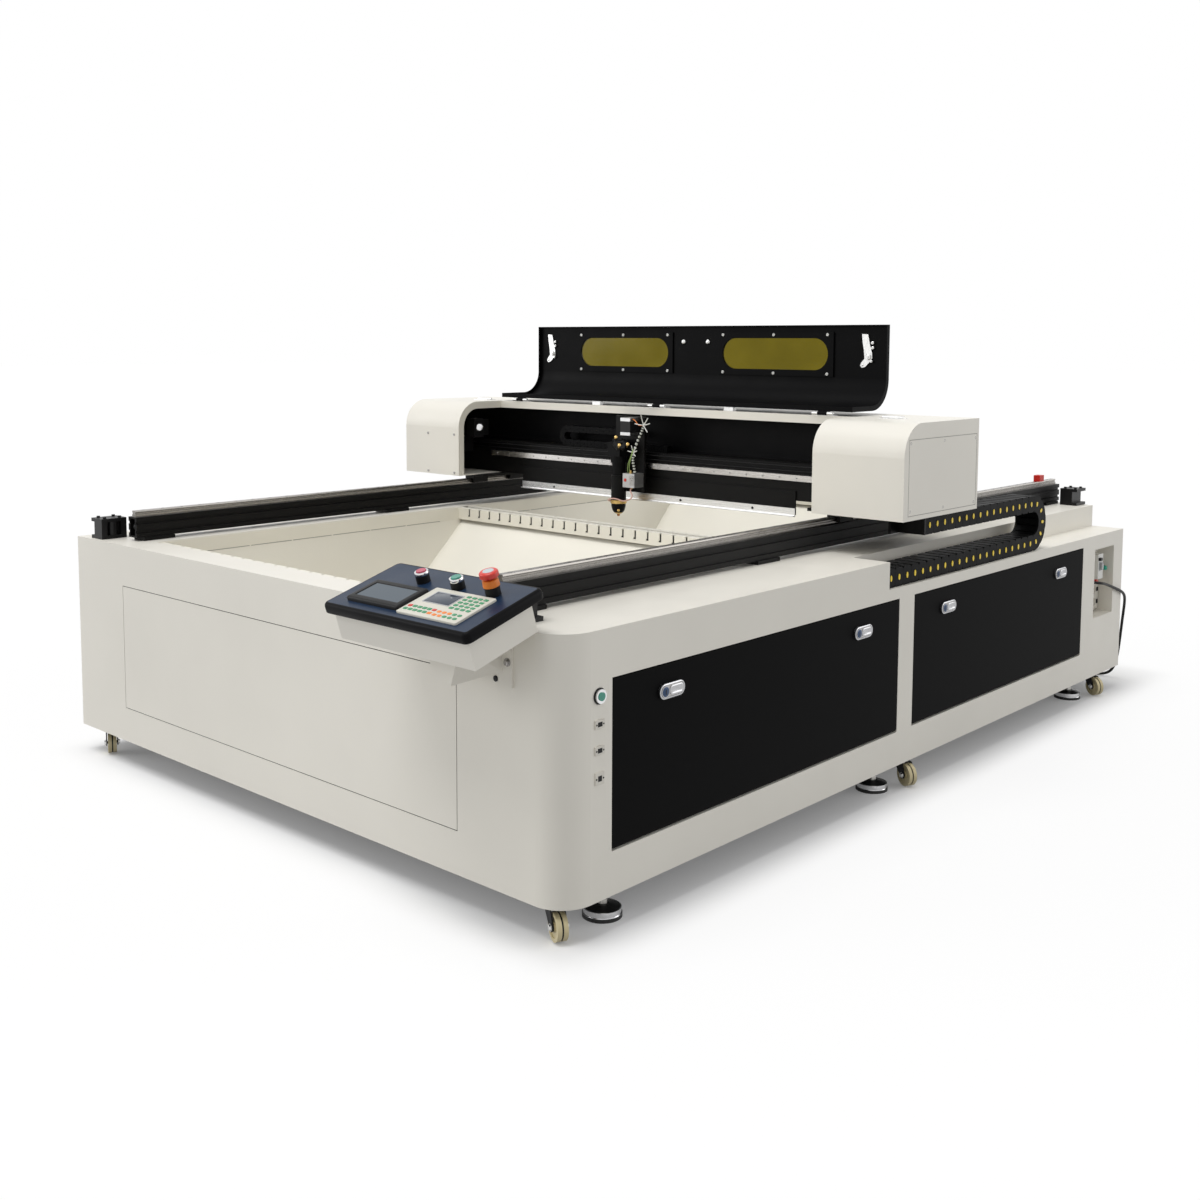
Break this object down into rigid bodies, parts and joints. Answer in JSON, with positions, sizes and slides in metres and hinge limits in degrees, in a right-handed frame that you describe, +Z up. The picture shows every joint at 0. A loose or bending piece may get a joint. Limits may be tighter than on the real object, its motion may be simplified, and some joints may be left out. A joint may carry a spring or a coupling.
{
  "type": "flat-bed gantry laser cutting and engraving machine",
  "caption": "Large flat-bed gantry laser machine with a cream cabinet, black side doors, moving gantry, hinged lid, drag chain and sloped control console.",
  "frame": {"origin": "centre of the machine's outline on the floor, at the undersides of the levelling feet", "axes": "+X to the machine's right, seen from the console's end, +Y to the rear, +Z up"},
  "size_m": [2.062, 3.374, 1.291],
  "materials": {
    "cream_paint": "satin",
    "black_paint": "satin",
    "anodised_black": "satin",
    "ground_steel": "ground",
    "bright_metal": "polished",
    "navy_plate": "satin",
    "black_plastic": "moulded",
    "keypad_plastic": "moulded",
    "red_plastic": "moulded",
    "green_plastic": "moulded",
    "amber_window": "clear",
    "tube_glass": "clear",
    "foot_rubber": "moulded",
    "nylon": "moulded",
    "lead_sheath": "moulded",
    "grey_enclosure": "satin"
  },
  "bodies": {
    "machine": {"cabinet_shell": "cream_paint", "base_frame": "black_paint", "front_panel": "cream_paint", "hoppers": "cream_paint", "slat_combs": "cream_paint", "rail_beams": "anodised_black", "guide_rails": "ground_steel", "belt_blocks": "anodised_black", "console_bracket": "cream_paint", "console_tub": "cream_paint", "console_plate": "navy_plate", "touch_screen": "black_plastic", "keypad": "keypad_plastic", "button_housings": "black_plastic", "side_ports": "bright_metal", "mains_panel": "cream_paint", "electronics": "grey_enclosure", "drag_chain_lower": "black_plastic", "mains_cord": "lead_sheath", "cord_coil": "lead_sheath", "mains_plug": "black_plastic", "levelling_feet": "foot_rubber"},
    "gantry": {"gantry_cover": "cream_paint", "gantry_carriages": "anodised_black", "x_beam": "anodised_black", "x_guide_rail": "ground_steel", "edge_strip": "ground_steel", "gantry_liner": "black_paint", "laser_tube": "tube_glass", "lid_hinges": "bright_metal", "x_drive": "anodised_black", "drag_chain_upper": "black_plastic", "x_chain_lower": "black_plastic"},
    "lid": {"lid_shell": "black_paint", "lid_windows": "amber_window", "window_frames": "black_paint", "lid_fittings": "bright_metal"},
    "laser_head": {"head_carriage": "anodised_black", "head_body": "anodised_black", "lift_motor": "anodised_black", "x_chain_upper": "black_plastic"},
    "lens_barrel": {"lens_tube": "anodised_black"},
    "front_door": {"front_door": "black_paint"},
    "rear_door": {"rear_door": "black_paint"},
    "estop": {"estop_button": "red_plastic"},
    "stop": {"stop_button": "red_plastic"},
    "start": {"start_button": "green_plastic"},
    "side_switch": {"side_button": "green_plastic"},
    "caster_front_left": {"caster_front_left": "black_paint"},
    "wheel_front_left": {"wheel_front_left": "nylon"},
    "caster_mid_left": {"caster_mid_left": "black_paint"},
    "wheel_mid_left": {"wheel_mid_left": "nylon"},
    "caster_rear_left": {"caster_rear_left": "black_paint"},
    "wheel_rear_left": {"wheel_rear_left": "nylon"},
    "caster_front_right": {"caster_front_right": "black_paint"},
    "wheel_front_right": {"wheel_front_right": "nylon"},
    "caster_mid_right": {"caster_mid_right": "black_paint"},
    "wheel_mid_right": {"wheel_mid_right": "nylon"},
    "caster_rear_right": {"caster_rear_right": "black_paint"},
    "wheel_rear_right": {"wheel_rear_right": "nylon"}
  },
  "joints": [
    {"name": "gantry_slide", "type": "slide", "parent": "machine", "child": "gantry", "axis": [0, 1, 0], "range_m": [-1.2, 1], "deforming": ["drag_chain_lower", "drag_chain_upper"]},
    {"name": "head_slide", "type": "slide", "parent": "gantry", "child": "laser_head", "axis": [1, 0, 0], "range_m": [-0.57, 0.67], "deforming": ["x_chain_lower", "x_chain_upper"]},
    {"name": "focus_slide", "type": "slide", "parent": "laser_head", "child": "lens_barrel", "axis": [0, 0, 1], "range_m": [-0.008, 0.03]},
    {"name": "lid_hinge", "type": "hinge", "parent": "gantry", "child": "lid", "pos_m": [0, 0.118, 1.0275], "axis": [1, 0, 0], "range_deg": [0, 180]},
    {"name": "front_door_tilt", "type": "hinge", "parent": "machine", "child": "front_door", "pos_m": [0.999, -0.641, 0.185], "axis": [0, 1, 0], "range_deg": [0, 60]},
    {"name": "rear_door_tilt", "type": "hinge", "parent": "machine", "child": "rear_door", "pos_m": [0.999, 0.6025, 0.185], "axis": [0, 1, 0], "range_deg": [0, 60]},
    {"name": "estop_press", "type": "slide", "parent": "machine", "child": "estop", "axis": [0, 0.2857, -0.9583], "range_m": [0, 0.004], "stiffness_N_per_m": 400},
    {"name": "stop_press", "type": "slide", "parent": "machine", "child": "stop", "axis": [0, 0.2857, -0.9583], "range_m": [0, 0.003], "stiffness_N_per_m": 400},
    {"name": "start_press", "type": "slide", "parent": "machine", "child": "start", "axis": [0, 0.2857, -0.9583], "range_m": [0, 0.003], "stiffness_N_per_m": 400},
    {"name": "side_press", "type": "slide", "parent": "machine", "child": "side_switch", "axis": [-1, 0, 0], "range_m": [0, 0.0025], "stiffness_N_per_m": 400},
    {"name": "swivel_front_left", "type": "hinge", "parent": "machine", "child": "caster_front_left", "pos_m": [-0.932, -1.322, 0.078], "axis": [0, 0, 1], "continuous": true},
    {"name": "roll_front_left", "type": "hinge", "parent": "caster_front_left", "child": "wheel_front_left", "pos_m": [-0.90683, -1.33427, 0.033], "axis": [0.4384, 0.8988, 0], "continuous": true},
    {"name": "swivel_mid_left", "type": "hinge", "parent": "machine", "child": "caster_mid_left", "pos_m": [-0.972, 0.04, 0.078], "axis": [0, 0, 1], "continuous": true},
    {"name": "roll_mid_left", "type": "hinge", "parent": "caster_mid_left", "child": "wheel_mid_left", "pos_m": [-0.94683, 0.02773, 0.033], "axis": [0.4384, 0.8988, 0], "continuous": true},
    {"name": "swivel_rear_left", "type": "hinge", "parent": "machine", "child": "caster_rear_left", "pos_m": [-0.972, 1.358, 0.078], "axis": [0, 0, 1], "continuous": true},
    {"name": "roll_rear_left", "type": "hinge", "parent": "caster_rear_left", "child": "wheel_rear_left", "pos_m": [-0.94683, 1.34573, 0.033], "axis": [0.4384, 0.8988, 0], "continuous": true},
    {"name": "swivel_front_right", "type": "hinge", "parent": "machine", "child": "caster_front_right", "pos_m": [0.932, -1.322, 0.078], "axis": [0, 0, 1], "continuous": true},
    {"name": "roll_front_right", "type": "hinge", "parent": "caster_front_right", "child": "wheel_front_right", "pos_m": [0.95717, -1.33427, 0.033], "axis": [0.4384, 0.8988, 0], "continuous": true},
    {"name": "swivel_mid_right", "type": "hinge", "parent": "machine", "child": "caster_mid_right", "pos_m": [0.972, 0.04, 0.078], "axis": [0, 0, 1], "continuous": true},
    {"name": "roll_mid_right", "type": "hinge", "parent": "caster_mid_right", "child": "wheel_mid_right", "pos_m": [0.99717, 0.02773, 0.033], "axis": [0.4384, 0.8988, 0], "continuous": true},
    {"name": "swivel_rear_right", "type": "hinge", "parent": "machine", "child": "caster_rear_right", "pos_m": [0.972, 1.358, 0.078], "axis": [0, 0, 1], "continuous": true},
    {"name": "roll_rear_right", "type": "hinge", "parent": "caster_rear_right", "child": "wheel_rear_right", "pos_m": [0.99717, 1.34573, 0.033], "axis": [0.4384, 0.8988, 0], "continuous": true}
  ]
}
